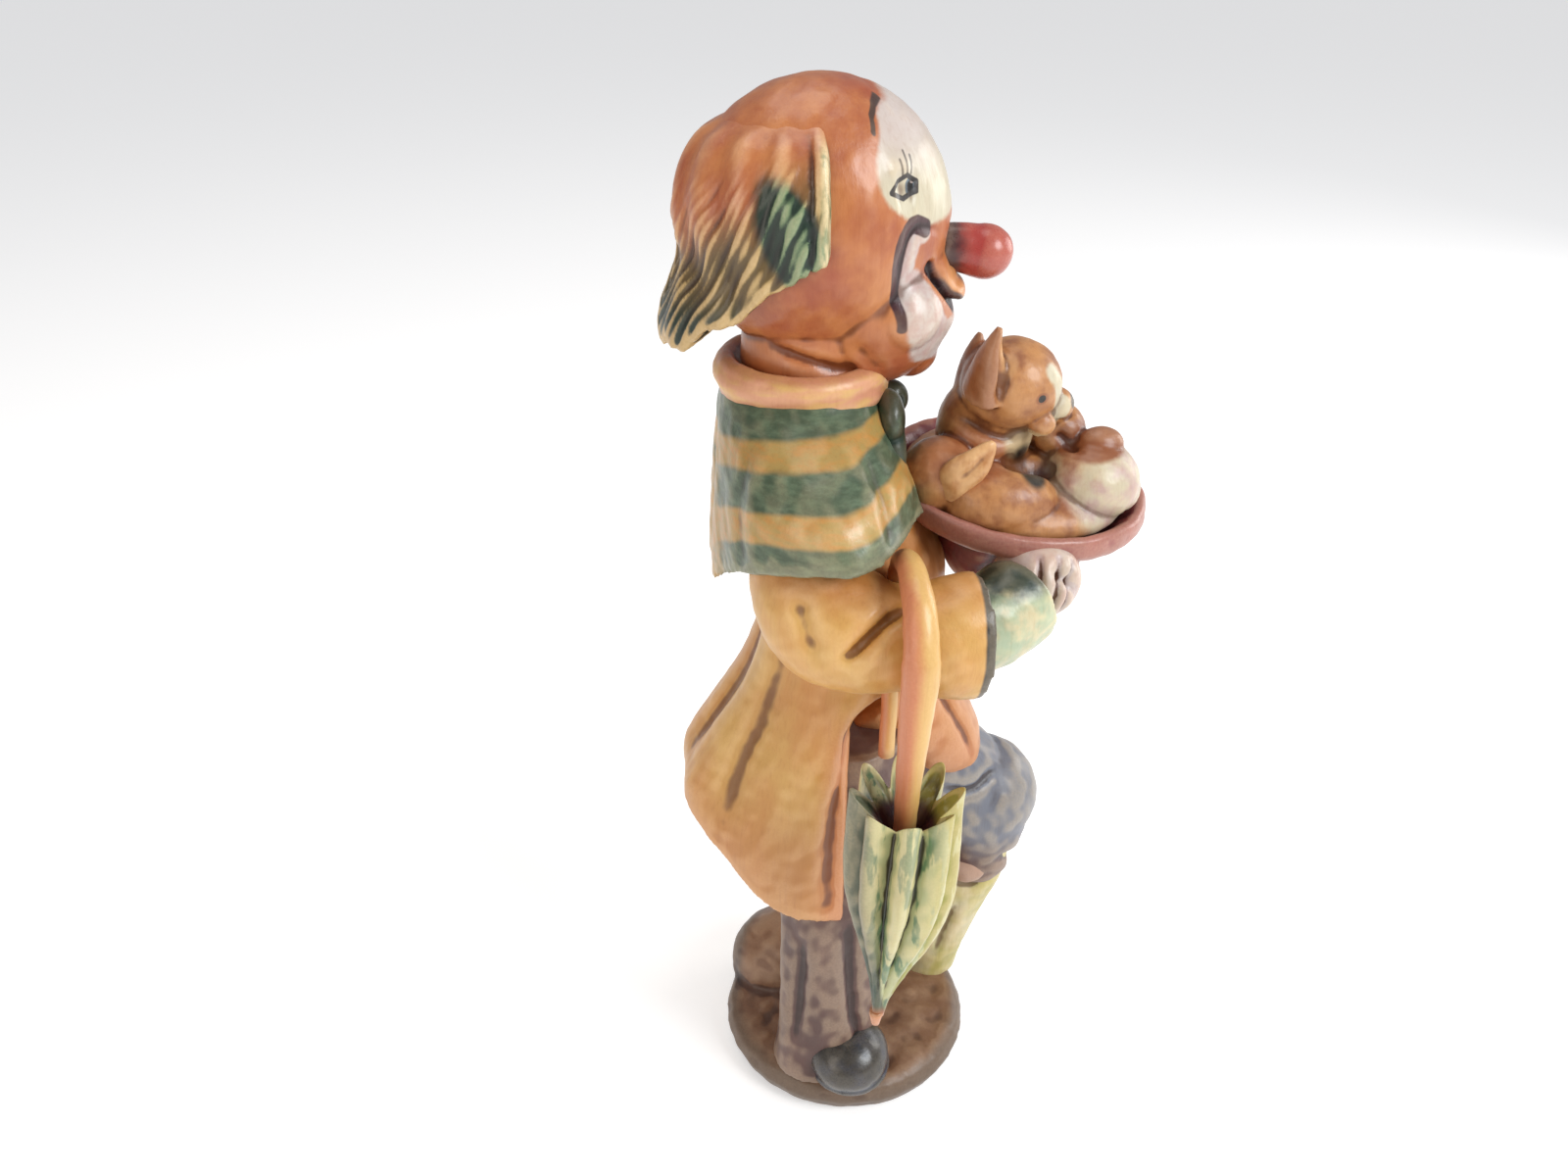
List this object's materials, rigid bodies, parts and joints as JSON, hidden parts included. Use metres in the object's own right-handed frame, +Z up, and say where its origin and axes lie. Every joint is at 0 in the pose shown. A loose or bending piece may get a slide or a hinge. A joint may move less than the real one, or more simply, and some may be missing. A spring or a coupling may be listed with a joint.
{
  "type": "carved clown figurine",
  "caption": "carved and painted wood clown in a cape, who holds an upturned hat full of puppies, with an umbrella hooked over his forearm, on a round base",
  "frame": {"origin": "centre of the base's underside", "axes": "+X the way the clown faces, +Y his left, +Z up"},
  "size_m": [0.0617, 0.0648, 0.1499],
  "materials": {
    "painted_carving": "hand-painted carved wood with a satin varnish: orange-brown skin and coat, green and yellow striped cape, dark red hat, tan and white puppies, brown base",
    "painted_umbrella": "hand-painted carved wood with a satin varnish: salmon crook, green, cream and yellow canopy"
  },
  "bodies": {
    "root": {"carved_clown": "painted_carving", "umbrella": "painted_umbrella"}
  },
  "joints": []
}
